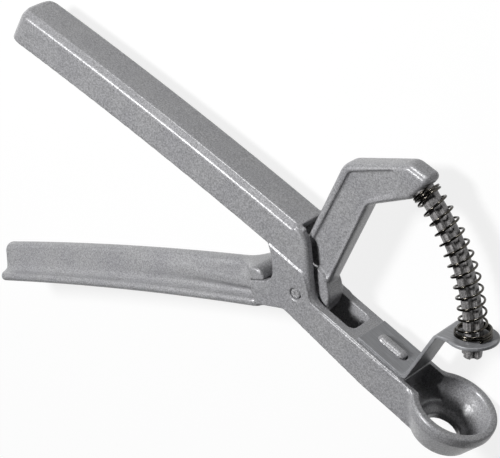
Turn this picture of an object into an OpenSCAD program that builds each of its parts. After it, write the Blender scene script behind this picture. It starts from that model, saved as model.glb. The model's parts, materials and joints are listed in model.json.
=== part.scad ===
// Hand olive pitter: a die-cast frame with a fixed handle and a cup, a cast lever that swings
// between the frame's cheeks, and a curved punch that passes a spring and an ejector plate.
// The tool lies on its side. X runs along the frame to the cup, Y runs up from the cup's base
// to the punch, and Z is the pivot's direction. The origin is the middle of the cup's base.
// Side outlines are worked out from the pivot and then moved to its place.

/* [Pivot and punch path] */
// Distance from the pivot to the axis of the cup
pivot_to_cup = 52.4; // [51.8:0.1:54]
// Height of the pivot above the base of the cup
pivot_height = 9.9; // [9.4:0.1:10.4]
// Radius of the arc that the punch follows about the pivot
punch_path_r = 52.7; // [52:0.1:54]
// Diameter of the pivot pin
pin_d = 3; // [2.4:0.1:3.6]
// Depth of each end of the pin below the face of its cheek
pin_recess = 0.35; // [0.2:0.05:0.6]
// Width of the countersink round each end of the pin
pin_sink_d = 3.7; // [3.5:0.1:5]
// Depth of that countersink
pin_sink_depth = 0.6; // [0.3:0.05:0.8]
// Clearance between the pin and the cheeks
pin_fit = 0.02; // [0.01:0.01:0.04]
// Clearance between the pin and the lever
pin_play = 0.05; // [0.03:0.01:0.1]

/* [Upper handle] */
// Distance from the pivot to the end of the upper handle
handle_reach = 113.5; // [95:0.5:125]
// Width of the upper handle
handle_w = 14; // [13:0.1:14.4]
// Width of the flat on top of the upper handle
handle_flat_w = 10.4; // [8:0.1:12]
// Drop of the bevel beside that flat
handle_bevel_drop = 1.4; // [0.6:0.1:2]
// Depth of the upper handle, from its top to its lower edge
handle_depth = 10.6; // [9.5:0.1:12]
// Height of the handle's lower edge above the pivot, at the neck
handle_root_y = 7.3; // [6.8:0.1:7.8]
// Height of the handle's lower edge above the pivot, at its end
handle_end_y = 2.2; // [-1:0.1:5]
// Rise of the handle's curve above its chord
handle_bow = 1.05; // [0.6:0.05:2]
// Thickness of the handle's side walls
handle_wall = 2.2; // [1.6:0.1:2.6]
// Thickness of the handle's top and of its end
handle_skin = 2.4; // [1.8:0.1:3]
// Reach of the handle's lower edge past its top, at the end
handle_end_lean = 1.6; // [0:0.1:2.4]
// Corner radius of the handle's end, seen from above
handle_end_r = 4; // [2:0.5:5]
// Corner radius of the handle's end, seen from the side
handle_tip_r = 2; // [1:0.5:3]

/* [Cheeks, neck and bar] */
// Width over the two cheeks and the front bar
frame_w = 14.8; // [14.6:0.1:16]
// Width of the slot between the cheeks
slot_w = 8.6; // [8.3:0.1:9]
// Distance from the pivot to the front end of the slot
slot_front = 18.5; // [16:0.5:20]
// Distance from the pivot back to the edge of the handle's top
slot_rear = 8.1; // [7.6:0.1:9]
// Corner radius at the front end of the slot
slot_r = 2; // [1:0.5:3]
// Height of the top of the front bar above the pivot
bar_top = 1.3; // [0.8:0.1:1.8]
// Depth of the front bar's underside below the pivot, at the cheeks
bar_root_low = 6.8; // [6.4:0.1:7.4]
// Depth of the front bar's underside below the pivot, at the cup
bar_tip_low = 9.2; // [8.6:0.1:9.4]
// Thickness of the front bar's top
bar_skin = 2.4; // [1.8:0.1:3]
// Thickness of the front bar's side walls
bar_wall = 2.6; // [2:0.1:3.4]
// Bevel on the two top edges of the front bar
bar_bevel = 0.7; // [0.3:0.1:1]
// Height of the cheeks' raised faces above the pivot
step_y = 7.4; // [7:0.1:7.8]
// Radius of the neck where it leaves the handle's top
neck_top_r = 7.5; // [5:0.5:8]
// Radius of the neck where it meets the front bar
neck_foot_r = 5.5; // [3:0.5:7]
// Distance from the pivot forward to the foot of the neck's slope
neck_foot_x = 5.2; // [4.5:0.1:6]
// Lean of the neck's slope from upright
neck_lean = 31; // [26:1:34]
// Length of the edge that the lever's shoulder rests on
rest_edge = 5.6; // [4.6:0.1:5.7]
// Height of that edge above the pivot, square to the lower handle
rest_edge_up = 3.2; // [2.8:0.1:3.4]

/* [Cup] */
// Height of the cup
cup_h = 11; // [10.4:0.1:12]
// Outer radius of the cup at its rim
cup_rim_r = 12.5; // [12:0.1:13.2]
// Outer radius of the cup at its base
cup_base_r = 8.8; // [8:0.1:10]
// Inner radius of the cup at its rim
bowl_r = 10; // [9:0.1:10.6]
// Height of the straight band below the rim
rim_band = 2; // [1:0.1:3]
// Radius of the hole that the pit leaves by
throat_r = 5.1; // [4.6:0.1:5.8]
// Length of that hole
throat_l = 2; // [1.5:0.1:3]
// Radius of the hollow corner between the bar and the cup
cup_fillet_r = 9; // [6:0.5:11]
// Distance from the pivot to the rear of the opening behind the cup
trough_rear = 38.8; // [38.4:0.1:40]
// Width of that opening
trough_w = 11.6; // [10.4:0.1:12]
// Depth of that opening
trough_depth = 6.6; // [5:0.1:7]

/* [Lever] */
// Angle of the lower handle below the pivot's level, at rest
lever_angle = 39.4; // [39:0.1:40]
// Thickness of the punch arm
arm_t = 7; // [6.4:0.1:7.2]
// Distance from the pivot back to the rear edge of the arm
arm_back = 6; // [5.6:0.1:6.3]
// Distance from the pivot forward to the front edge of the arm
arm_front = 5.7; // [5.4:0.1:6.5]
// Height of the arm's rear corner above the pivot
arm_shoulder_y = 41.8; // [40:0.1:43]
// Height of the arm's inner corner above the pivot
arm_inner_y = 36.2; // [34.8:0.1:38]
// Slope of the arm's top edge
arm_top_slope = 39.2; // [38:0.1:41]
// Angle of the arm's end face about the pivot
arm_end_angle = 71.7; // [71:0.1:73]
// Reach of the arm's end face past the punch's axis
arm_end_out = 5.9; // [5:0.1:6.2]
// Reach of the arm's end face inside the punch's axis
arm_end_in = 3.6; // [3.4:0.1:4.2]
// Length of the bevelled nose over the arm's end face
arm_nose = 7.9; // [7:0.1:8.4]
// Width of the rim round the recess in each side of the arm
arm_rim = 2.1; // [1.6:0.1:2.6]
// Depth of that recess
arm_recess = 0.9; // [0.5:0.1:1.4]
// Radius of the hub pad below the recess
hub_pad_r = 9.4; // [9:0.1:12]
// Radius of the lever's hub
hub_r = 8.6; // [8:0.1:9]
// Radius of the hub's side bosses
boss_r = 5; // [4.2:0.1:5.6]
// Gap between each boss and its cheek
boss_gap = 0.25; // [0.15:0.05:0.35]

/* [Lower handle] */
// Distance from the pivot to the end of the lower handle
lower_reach = 116; // [95:0.5:125]
// Width of the flange along the lower handle
flange_w = 13.2; // [12:0.1:14]
// Thickness of the flange
flange_t = 3; // [2.4:0.1:3.6]
// Height of the lower handle near the pivot
lower_root_h = 12.5; // [12:0.1:12.9]
// Height of the lower handle at its end
lower_tip_h = 10.5; // [9.5:0.1:11.5]
// Thickness of the web at its top edge
web_top_t = 3.8; // [3:0.1:5]
// Thickness of the web where it joins the flange
web_foot_t = 6.2; // [5.6:0.1:7]
// Radius of the hollow between the web and the flange
web_fillet_r = 1.6; // [1:0.1:1.8]
// Rise of the lower handle's curve above its chord
lower_bow = 1.2; // [0.8:0.05:2]
// Thickness of the lever's shoulder
shoulder_t = 10; // [9.2:0.1:10.8]
// Height at which the shoulder starts to narrow to the thickness of the web's top
shoulder_h = 8.8; // [8:0.1:10]
// Length over which the shoulder thins down to the web
shoulder_l = 34; // [20:1:45]
// Corner radius of the lower handle's end
lower_end_r = 2; // [1:0.1:2.6]
// Gap between the lever and the frame's edges at rest
rest_gap = 0.3; // [0.25:0.05:0.5]

/* [Punch] */
// Diameter of the punch over its four ribs
punch_d = 5.5; // [5:0.1:5.7]
// Radius of each groove along the punch
groove_r = 1.25; // [1:0.05:1.4]
// Depth of each groove
groove_depth = 0.8; // [0.4:0.05:1]
// Angle of the punch's tip about the pivot, at rest
tip_angle = 20; // [18.5:0.1:20.8]
// Length of the punch's shank inside the arm
shank_l = 6.5; // [5:0.1:7]
// Clearance of the shank in the arm
shank_gap = 0.03; // [0.02:0.01:0.1]

/* [Ejector plate] */
// Thickness of the ejector's sheet metal
sheet_t = 1; // [0.8:0.1:1.2]
// Width of the ejector where it lies on the bar
plate_w = 12.2; // [11:0.1:13]
// Width of the ejector at its upper bend
neck_w = 10.8; // [9:0.1:11.6]
// Distance from the pivot to the rear edge of the plate
plate_rear = 21.6; // [21:0.1:23]
// Distance from the pivot to the plate's upright leg
leg_x = 38.7; // [38:0.1:39.2]
// Lean of the leg toward the cup
leg_lean = 5.6; // [4:0.1:7]
// Angle of the ring about the pivot
ring_angle = 25.8; // [25:0.1:27]
// Outer radius of the ring
ring_r = 7; // [6.2:0.1:7.6]
// Clearance between the ring and the punch
ring_gap = 0.35; // [0.3:0.05:0.6]
// Outside radius of the sheet's bends
bend_r = 1.8; // [1.4:0.1:2.4]
// Length of the staked lug that holds the plate
lug_l = 9.4; // [7:0.1:11]
// Width of the staked lug
lug_w = 3.4; // [2.8:0.1:4]
// Height of the lug's head above the plate
lug_h = 1; // [0.6:0.1:1.4]
// Distance from the pivot to the middle of the lug
lug_x = 29.3; // [28:0.1:31]
// Overhang of the lug's head round its stem
lug_lip = 0.4; // [0.3:0.05:0.6]
// Clearance between the lug's stem and the plate
lug_gap = 0.1; // [0.05:0.05:0.2]
// Extra length of the plate's slot, in front of the lug
lug_room = 0.9; // [0.5:0.1:1.4]

/* [Return spring] */
// Diameter of the spring's wire
wire_d = 0.65; // [0.5:0.05:0.7]
// Radius of the open coils, to the middle of the wire
coil_r = 3.65; // [3.6:0.05:4]
// Radius of the end coils on the ring, to the middle of the wire
foot_coil_r = 4.85; // [4.4:0.05:5.4]
// Number of close coils on the ring
foot_coils = 2.5; // [1.5:0.5:3]
// Number of open coils
open_coils = 12.5; // [9.5:1:12.5]
// Number of close coils under the arm
head_coils = 2; // [1:1:2]
// Spacing of the close coils
close_pitch = 1.18; // [1.18:0.01:1.24]

/* [Hidden] */

// Fineness of circles, of rounded outline corners (degrees a step) and the overrun of cuts
$fn = 64;
corner_step = 18;
over = 1;

// The tool's metals, as colours
cast_grey = "#a3a4a6";
steel_grey = "#8d8c88";
spring_grey = "#5b564f";

// Corners of an outline, each [x, y, radius], turned into points with round corners
function unit(v) = v / norm(v);
function turn(a, b) = atan2(a.x * b.y - a.y * b.x, a * b);
function corner(p, q, r) =
    let (u = unit([q.x - p.x, q.y - p.y]), v = unit([r.x - q.x, r.y - q.y]), bend = turn(u, v))
    (q[2] == 0 || abs(bend) < 0.5) ? [[q.x, q.y]] :
    let (back = q[2] * tan(abs(bend) / 2), side = bend > 0 ? 1 : -1,
         centre = [q.x, q.y] - back * u + side * q[2] * [-u.y, u.x],
         start = atan2(-side * u.x, side * u.y), steps = max(2, ceil(abs(bend) / corner_step)))
    [for (i = [0:steps]) centre + q[2] * [cos(start + bend * i / steps), sin(start + bend * i / steps)]];
function rounded(c) =
    [for (i = [0:len(c) - 1]) each corner(c[(i + len(c) - 1) % len(c)], c[i], c[(i + 1) % len(c)])];
function polar(r, a) = [r * cos(a), r * sin(a)];
function soft(p, r) = [p.x, p.y, r];

// A place in the lever's own axes at rest: s outward along the lower handle, t up from it
function along(s, t) = [-s * cos(lever_angle) - t * sin(lever_angle),
                        -s * sin(lever_angle) + t * cos(lever_angle)];

// Half widths, and heights from the pivot
cheek_z = frame_w / 2;
handle_z = handle_w / 2;
handle_top = handle_root_y + handle_depth;
rim_y = cup_h - pivot_height;
base_y = -pivot_height;

// The upper handle is a shallow arc: its chord, the arc's radius and half its angle
chord_l = handle_reach - slot_rear;
chord_drop = handle_root_y - handle_end_y;
chord_mid = [-slot_rear - chord_l / 2, handle_root_y - chord_drop / 2];
chord_tilt = atan2(chord_drop, chord_l);
arc_r = chord_l * chord_l / 8 / handle_bow + handle_bow / 2;
arc_half = asin(chord_l / 2 / arc_r);

// The underside of the lower handle is another shallow arc, in the lever's own axes
lower_start = 12;
lower_root_t = -5.5;
lower_tip_t = -2.2;
lower_l = lower_reach - lower_start;
lower_tilt = atan2(lower_tip_t - lower_root_t, lower_l);
lower_mid = [lower_start + lower_l / 2, (lower_root_t + lower_tip_t) / 2];
lower_arc_r = lower_l * lower_l / 8 / lower_bow + lower_bow / 2;
lower_arc_half = asin(lower_l / 2 / lower_arc_r);

// The ear that stops the lever: its resting edge and its lowest corner
ear_in = along(9.3, rest_edge_up);
ear_out = along(9.3 + rest_edge, rest_edge_up);
ear_mid = along(15.25, -0.2);
ear_low = along(14.8, -3.7);
ear_clear_r = 15.6;

// The cheeks' rear edge, from the ear up to the end of their raised faces
cheek_rear = [[-8, -0.6, 2], [-9.5, 2.4, 0], [-11, 4.9, 0], [-13.5, step_y, 0]];

// Where the lever's shoulder starts beside the ear, where its full thickness ends, and a depth
// clear below it
shoulder_start = 11.4;
shoulder_end = 18;
lower_clear = lower_root_h;

// The stem of the lug that holds the ejector plate
stem_l = lug_l - 2 * lug_lip;
stem_w = lug_w - 2 * lug_lip;

// The spring stands on the ring and presses on the arm's end face
half_sheet = atan(sheet_t / 2 / punch_path_r);
spring_foot = ring_angle + half_sheet;
shank_angle = shank_l / punch_path_r * 180 / PI;

// The upright leg of the ejector plate meets the ring's plane here
ring_slope = tan(ring_angle);
leg_slope = tan(leg_lean);
leg_foot_y = bar_top + sheet_t;
leg_top_y = (leg_x - leg_slope * leg_foot_y) * ring_slope / (1 - leg_slope * ring_slope);
leg_top = [leg_top_y / ring_slope, leg_top_y];

module at_pivot() translate([-pivot_to_cup, pivot_height, 0]) children();

// A side outline, given as rounded corners, made into a plate of one thickness
module plate(corners, thick) linear_extrude(height = thick, center = true) polygon(rounded(corners));

// Anything drawn in the lever's own axes: x outward along the lower handle, y up from it
module in_lever_axes() rotate([0, 0, lever_angle]) mirror([1, 0, 0]) children();

// ---------------------------------------------------------------- frame casting

// The handle's chord as an x axis, with the middle of the chord at the origin
module on_chord() translate([chord_mid.x, chord_mid.y, 0]) rotate([0, 0, chord_tilt]) children();

// A section carried along the handle's arc: x is height above the lower edge, y is Z
module along_handle(lead, tail)
    on_chord() translate([0, handle_bow - arc_r, 0]) rotate([0, 0, 90 - arc_half - lead])
        rotate_extrude(angle = 2 * arc_half + lead + tail, $fn = 256) translate([arc_r, 0]) children();

module handle_section() {
    side = handle_depth - handle_bevel_drop;
    flat = handle_flat_w / 2;
    polygon([[0, -handle_z], [side, -handle_z], [handle_depth, -flat],
             [handle_depth, flat], [side, handle_z], [0, handle_z]]);
}

module channel_section() {
    inner = handle_z - handle_wall;
    draft = 0.3;
    roof = handle_depth - handle_skin;
    polygon([[-over, -inner], [roof, draft - inner], [roof, inner - draft], [-over, inner]]);
}

// The handle seen from above has two round corners at its end, and so has its side outline
module handle_ends() {
    half = chord_l / 2;
    low = half + handle_end_lean;
    tall = handle_depth + 3 * handle_bow;
    plan = [[-low, -handle_z, handle_end_r], [half + over, -handle_z, 0],
            [half + over, handle_z, 0], [-low, handle_z, handle_end_r]];
    side = [[-low, -0.1, handle_tip_r / 2], [half + over, -0.1, 0], [half + over, tall, 0],
            [0, tall, 0], [-half, handle_depth + 0.02, handle_tip_r]];
    on_chord() intersection() {
        translate([0, tall / 2, 0]) rotate([90, 0, 0]) plate(plan, tall + 2 * over);
        plate(side, handle_w + over);
    }
}

module upper_handle() difference() {
    intersection() {
        along_handle(0, 1) handle_section();
        handle_ends();
    }
    // open underneath, with an end wall, and running out between the cheeks
    intersection() {
        along_handle(1, 1) channel_section();
        on_chord() translate([handle_wall, 0, 0]) cube([chord_l, 4 * handle_depth, handle_w], center = true);
    }
}

// Both cheeks, the ear and the front bar in one side outline
module cheek_outline(thick) {
    bar_bend = [28.8, 0.2 - bar_tip_low, 8];
    plate([[-0.2, step_y, 2], [neck_foot_x, bar_top, neck_foot_r / 2],
           [pivot_to_cup, bar_top, 0], [pivot_to_cup, -bar_tip_low, 0], bar_bend,
           [-1, -bar_root_low, 3], soft(ear_low, 1.2), soft(ear_mid, 0), soft(ear_out, 0.6), soft(ear_in, 1.6),
           each cheek_rear], thick);
}

// The neck carries the handle's height down to the bar in an S
module neck_outline(thick) {
    neck_rise = handle_top - bar_top;
    lean_run = neck_rise * tan(neck_lean);
    plate([[-slot_rear - over, handle_root_y - 2, 0], [-slot_rear - over, handle_top, 0],
           [neck_foot_x - lean_run, handle_top, neck_top_r], [neck_foot_x, bar_top, neck_foot_r],
           [neck_foot_x + 8, bar_top, 0], [neck_foot_x + 4, bar_top - 3, 0], [-4, bar_top - 3, 0]], thick);
}

// The bar's two top edges are bevelled
module bar_bevels() for (side = [-1, 1])
    translate([0, bar_top, side * cheek_z]) rotate([45, 0, 0])
        translate([20, 0, 0]) cube([26, bar_bevel * sqrt(2), bar_bevel * sqrt(2)], center = true);

// The slot is cut right through in front of the handle's top, and under that top behind it
module slot() {
    half = slot_w / 2;
    rotate([90, 0, 0]) linear_extrude(height = 4 * handle_top, center = true) {
        translate([-slot_rear, -half]) square([slot_rear + slot_front - slot_r, 2 * half]);
        translate([0, slot_r - half]) square([slot_front, 2 * (half - slot_r)]);
        for (side = [-1, 1]) translate([slot_front - slot_r, side * (half - slot_r)]) circle(slot_r);
    }
    deep = 2 * handle_top;
    translate([-slot_rear - slot_front, -deep, -half])
        cube([slot_rear + slot_front, deep + handle_top - handle_skin, slot_w]);
}

// The cup, open at the top, with a throat that lets the pit fall through
module cup_body() rotate([-90, 0, 0]) rotate_extrude() polygon([[0, base_y], [cup_base_r - 0.8, base_y],
    [cup_base_r, base_y + 0.6], [cup_rim_r - 0.1, rim_y - rim_band - 1], [cup_rim_r, rim_y - rim_band],
    [cup_rim_r, rim_y - 0.5], [cup_rim_r - 0.5, rim_y], [0, rim_y]]);

module bowl() rotate([-90, 0, 0]) rotate_extrude() polygon([[0, base_y + throat_l],
    [throat_r, base_y + throat_l], [throat_r + 1.7, base_y + throat_l + 1.2],
    [bowl_r - 1.1, rim_y - 4.4], [bowl_r - 0.3, rim_y - 2], [bowl_r, rim_y - 0.4],
    [bowl_r + 0.4, rim_y], [bowl_r + 0.4, rim_y + over], [0, rim_y + over]]);

// Hollow corners that widen the bar into the cup
module flare() translate([0, bar_top, 0]) rotate([90, 0, 0]) linear_extrude(height = 4.5) difference() {
    reach = cup_rim_r + cup_fillet_r;
    centre_z = cheek_z + cup_fillet_r;
    run = sqrt(reach * reach - centre_z * centre_z);
    half = centre_z * cup_rim_r / reach;
    translate([pivot_to_cup - run, -half]) square([run, 2 * half]);
    for (side = [-1, 1]) translate([pivot_to_cup - run, side * centre_z]) circle(cup_fillet_r);
}

// A rectangle with half-round ends, standing up from the bar
module oblong(l, w, h) rotate([-90, 0, 0]) linear_extrude(height = h) {
    square([l - w, w], center = true);
    for (side = [-1, 1]) translate([side * (l - w) / 2, 0]) circle(d = w);
}

// The staked lug: a stem through the ejector plate and a head over it
module lug() translate([lug_x, 0, 0]) {
    translate([0, bar_top - 0.5, 0]) oblong(stem_l, stem_w, sheet_t + 0.6);
    translate([0, bar_top + sheet_t, 0]) oblong(lug_l, lug_w, lug_h);
}

// Open underneath, as the handle is, and closed off before the cup
module bar_hollow() {
    half = cheek_z - bar_wall;
    rear = slot_front - slot_r;
    front = trough_rear - bar_skin;
    deep = cup_h + pivot_height;
    translate([rear, -deep, -half]) cube([front - rear, deep + bar_top - bar_skin, 2 * half]);
}

// Behind the cup the bar's top opens into the bowl
module trough() translate([trough_rear, bar_top - trough_depth, -trough_w / 2])
    cube([pivot_to_cup - trough_rear, trough_depth + cup_h, trough_w]);

module pin_holes() for (side = [0, 180]) rotate([0, side, 0]) {
    cylinder(h = frame_w, r = pin_d / 2 + pin_fit);
    translate([0, 0, cheek_z - pin_sink_depth]) cylinder(h = over + pin_sink_depth, d = pin_sink_d);
}

module frame_casting() color(cast_grey) at_pivot() {
    difference() {
        union() {
            upper_handle();
            neck_outline(handle_w);
            cheek_outline(frame_w);
            flare();
            translate([pivot_to_cup, 0, 0]) cup_body();
        }
        slot();
        bar_bevels();
        bar_hollow();
        trough();
        pin_holes();
        translate([pivot_to_cup, 0, 0]) bowl();
        translate([pivot_to_cup, base_y - over, 0]) rotate([-90, 0, 0])
            cylinder(h = throat_l + 2 * over, r = throat_r);
    }
    lug();
}

// ---------------------------------------------------------------- lever casting

// Heights of the lower handle's underside and top edge, in the lever's own axes
function under_t(s) = let (u = (s - lower_start) / lower_l)
    lower_root_t + (lower_tip_t - lower_root_t) * u + 4 * lower_bow * u * (1 - u);
function over_t(s) = let (u = (s - lower_start) / lower_l)
    under_t(s) + lower_root_h + (lower_tip_h - lower_root_h) * u;

module lower_outline(thick) {
    nose = rest_edge_up + rest_gap;
    top = [for (i = [1:8]) let (s = lower_start + lower_l * i / 8) [s, over_t(s), i == 8 ? lower_end_r : 0]];
    back = shoulder_start + 1.8;
    plate([[shoulder_start, nose, 0.5], [shoulder_start, nose + 2.4, 1.4], [back, over_t(back), 1],
           each top, [lower_reach, lower_tip_t - 0.02, lower_end_r / 2],
           [lower_reach - 30, lower_tip_t - 0.1, 0], [lower_reach - 50, -lower_clear, 0],
           [shoulder_start, -lower_clear, 0]], thick);
}

// An upright web on a flange, with a hollow in each corner
module lower_section() {
    foot = web_foot_t / 2;
    wide = flange_w / 2;
    r = web_fillet_r;
    half = [[0, wide], [flange_t - 1, wide], [flange_t - 0.4, wide - 0.5], [flange_t, foot + r],
            [flange_t + 0.3 * r, foot + 0.3 * r], [flange_t + r, foot], [14, web_top_t / 2]];
    polygon(concat(half, [for (i = [len(half) - 1:-1:0]) [half[i].x, -half[i].y]]));
}

// A section carried along the lower handle's arc: x is height above the underside, y is Z
module along_lower() translate([lower_mid.x, lower_mid.y, 0]) rotate([0, 0, lower_tilt])
    translate([0, lower_bow - lower_arc_r, 0]) rotate([0, 0, 90 - lower_arc_half - 0.5])
        rotate_extrude(angle = 2 * lower_arc_half + 1, $fn = 256) translate([lower_arc_r, 0]) children();

// The thick shoulder thins down to the web
module shoulder() {
    thick = shoulder_t / 2;
    thin = web_top_t / 2;
    rear = shoulder_start - 0.4;
    thinned = shoulder_end + shoulder_l;
    intersection() {
        rotate([90, 0, 0]) plate([[rear, -thick, 0], [shoulder_end, -thick, 0], [thinned, -thin, 0],
                                  [thinned, thin, 0], [shoulder_end, thick, 0], [rear, thick, 0]],
                                 3 * lower_root_h);
        along_lower() polygon([[0.02, -thick], [shoulder_h, -thick], [lower_root_h, -thin],
                               [lower_root_h, thin], [shoulder_h, thick], [0.02, thick]]);
    }
}

// Room for the ear, on each side of the tang
module ear_room() for (side = [-1, 1])
    translate([0, 0, side * (arm_t + frame_w) / 2]) intersection() {
        cylinder(h = frame_w, r = ear_clear_r, center = true);
        translate([0, -2 * ear_clear_r, -frame_w])
            cube([2 * ear_clear_r, 2 * ear_clear_r + rest_edge_up + rest_gap, 2 * frame_w]);
    }

module lower_handle() difference() {
    intersection() {
        union() {
            along_lower() lower_section();
            shoulder();
        }
        lower_outline(flange_w + over);
    }
    ear_room();
}

// The tang joins the shoulder to the hub, between the cheeks
module tang() plate([[0, -6.5, 0], [20, under_t(20) + 0.4, 0], [20, 6, 0], [10, 6.4, 0], [0, 7.4, 0]], arm_t);

module arm_outline(thick) {
    end_out = polar(punch_path_r + arm_end_out, arm_end_angle);
    end_in = polar(punch_path_r - arm_end_in, arm_end_angle);
    nose_x = end_out.x - arm_nose;
    nose_y = arm_shoulder_y + (nose_x + arm_back) * tan(arm_top_slope);
    plate([[-arm_back, 0, 0], [arm_front, 0, 0], [arm_front, arm_inner_y, 3], soft(end_in, 0.5),
           soft(end_out, 0.8), [nose_x, nose_y, 4], [-arm_back, arm_shoulder_y, 5]], thick);
}

// A shallow recess in each side of the arm, ending at the hub pad
module arm_recesses() for (side = [-1, 1]) {
    end = polar(punch_path_r, arm_end_angle);
    translate([0, 0, side * (arm_t / 2 - arm_recess / 2 + over / 2)]) difference() {
        plate([[arm_rim - arm_back, 0, 0], [arm_front - arm_rim / 2, 0, 0],
               [arm_front - arm_rim / 2, arm_inner_y + 0.6, 3], [end.x - 5.4, end.y - 5.4, 1],
               [end.x - 6.6, end.y + 0.2, 2], [end.x - 9, end.y + 0.8, 2],
               [arm_rim + 0.7 - arm_back, arm_shoulder_y - 0.6, 2.5]], arm_recess + over);
        cylinder(h = 10, r = hub_pad_r, center = true);
    }
}

// The hole for the punch's shank follows the punch's own arc
module shank_hole() rotate([0, 0, arm_end_angle - 0.5])
    rotate_extrude(angle = shank_angle + 0.6) translate([punch_path_r, 0]) circle(punch_d / 2 + shank_gap);

module lever_casting() color(cast_grey) at_pivot() difference() {
    union() {
        difference() {
            arm_outline(arm_t);
            arm_recesses();
        }
        cylinder(h = arm_t, r = hub_r, center = true);
        cylinder(h = slot_w - 2 * boss_gap, r = boss_r, center = true);
        in_lever_axes() tang();
        in_lever_axes() lower_handle();
    }
    cylinder(h = slot_w, r = pin_d / 2 + pin_play, center = true);
    shank_hole();
}

// ---------------------------------------------------------------- steel parts

module pivot_pin() color(steel_grey) at_pivot() {
    half = cheek_z - pin_recess;
    bevel = 0.3;
    cylinder(h = 2 * half - 2 * bevel, d = pin_d, center = true);
    for (side = [0, 180]) rotate([0, side, 0])
        translate([0, 0, half - bevel]) cylinder(h = bevel, d1 = pin_d, d2 = pin_d - 2 * bevel);
}

// Four ribs run along the punch, a hair narrower over all than its plain shank
module punch_section() difference() {
    circle(d = punch_d - 0.04);
    for (a = [45:90:315]) rotate(a) translate([punch_d / 2 - groove_depth + groove_r, 0]) circle(groove_r);
}

module punch() color(steel_grey) at_pivot() {
    rotate([0, 0, tip_angle]) rotate_extrude(angle = arm_end_angle - tip_angle)
        translate([punch_path_r, 0]) punch_section();
    rotate([0, 0, arm_end_angle - 0.4]) rotate_extrude(angle = shank_angle + 0.4)
        translate([punch_path_r, 0]) circle(d = punch_d);
}

// The ejector's side outline: along the bar, up the leg and out to the ring
function leg_hit(x0, d) =
    let (m = tan(leg_lean), s = sin(ring_angle), c = cos(ring_angle),
         y = (d + s * (x0 - m * bar_top)) / (c - m * s))
    [x0 + (y - bar_top) * m, y];

module ejector_profile(thick) {
    front = leg_x;
    rear = leg_x - sheet_t / cos(leg_lean);
    half = sheet_t / 2;
    inner = bend_r - sheet_t;
    ring_end = punch_path_r + ring_r + over;
    out = [cos(ring_angle), sin(ring_angle)];
    up = [-out.y, out.x];
    plate([[plate_rear, bar_top, 0], [front, bar_top, bend_r], soft(leg_hit(front, -half), inner),
           soft(ring_end * out - half * up, 0), soft(ring_end * out + half * up, 0),
           soft(leg_hit(rear, half), bend_r), [rear + sheet_t * tan(leg_lean), bar_top + sheet_t, inner],
           [plate_rear, bar_top + sheet_t, 0]], thick);
}

// Something drawn at the ring's centre, with z along the punch there
module at_ring() rotate([0, 0, ring_angle]) translate([punch_path_r, 0, 0]) rotate([-90, 0, 0]) children();

// Seen along X, the sheet narrows up its leg
module ejector_front() rotate([0, 90, 0]) linear_extrude(height = punch_path_r * cos(ring_angle)) {
    wide = plate_w / 2;
    thin = neck_w / 2;
    polygon([[wide, 0], [wide, bar_top + 4], [thin, leg_top.y], [thin, 40],
             [-thin, 40], [-thin, leg_top.y], [-wide, bar_top + 4], [-wide, 0]]);
}

module ejector_plate() color(steel_grey) at_pivot() difference() {
    intersection() {
        ejector_profile(2 * ring_r + over);
        union() {
            ejector_front();
            at_ring() cylinder(h = 4, r = ring_r, center = true);
        }
    }
    at_ring() cylinder(h = sheet_t + over, r = punch_d / 2 + ring_gap, center = true);
    translate([lug_x + lug_room / 2, bar_top - over, 0])
        oblong(stem_l + 2 * lug_gap + lug_room, stem_w + 2 * lug_gap, sheet_t + 2 * over);
}

// ---------------------------------------------------------------- return spring

// Counts and spacings: 8 rings a coil and 6 sides to the wire
coil_rings = 8;
wire_sides = 6;
turns = foot_coils + open_coils + head_coils;
seat_gap = 0.05;
arc_mm = punch_path_r * PI / 180;
spring_l = (arm_end_angle - spring_foot) * arc_mm - wire_d - 2 * seat_gap;
open_pitch = (spring_l - close_pitch * (foot_coils + head_coils)) / open_coils;

// How far along its axis, and how far from it, the wire is after n coils
function rise(n) = close_pitch * min(n, foot_coils) + open_pitch * max(0, min(n - foot_coils, open_coils))
    + close_pitch * max(0, n - foot_coils - open_coils);
function swing(n) = let (u = min(1, max(0, n - foot_coils + 0.5))) foot_coil_r + (coil_r - foot_coil_r) * u;
function wire_point(n) =
    let (a = spring_foot + (wire_d / 2 + seat_gap + rise(n)) / arc_mm,
         r = punch_path_r + swing(n) * cos(360 * n))
    [r * cos(a), r * sin(a), -swing(n) * sin(360 * n)];
function wire_out(n) =
    let (a = spring_foot + rise(n) / arc_mm) [cos(360 * n) * cos(a), cos(360 * n) * sin(a), -sin(360 * n)];

wire_path = [for (i = [0:turns * coil_rings]) wire_point(i / coil_rings)];
wire_last = len(wire_path) - 1;
wire_skin = [for (i = [0:wire_last])
    let (ahead = unit(wire_path[min(i + 1, wire_last)] - wire_path[max(i - 1, 0)]),
         out = wire_out(i / coil_rings), side = unit(cross(ahead, out)), lift = cross(side, ahead))
    for (k = [0:wire_sides - 1])
        wire_path[i] + wire_d / 2 * (cos(60 * k) * lift + sin(60 * k) * side)];
wire_faces = [
    for (i = [0:wire_last - 1], k = [0:wire_sides - 1])
        let (a = i * wire_sides + k, b = i * wire_sides + (k + 1) % wire_sides,
             c = b + wire_sides, d = a + wire_sides)
        each [[a, b, c], [a, c, d]],
    for (k = [1:wire_sides - 2]) each [[0, k + 1, k],
        [wire_last * wire_sides, wire_last * wire_sides + k, wire_last * wire_sides + k + 1]]];

// The least gap between one coil and the next
wire_gap = min([for (i = [0:wire_last - 5], j = [i + 5:min(i + 12, wire_last)])
    norm(wire_path[i] - wire_path[j])]) - wire_d;
echo(spring_least_gap = wire_gap, open_pitch = open_pitch);

module return_spring() color(spring_grey) at_pivot()
    polyhedron(points = wire_skin, faces = wire_faces, convexity = 10);

frame_casting();
lever_casting();
pivot_pin();
punch();
return_spring();
ejector_plate();
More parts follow.
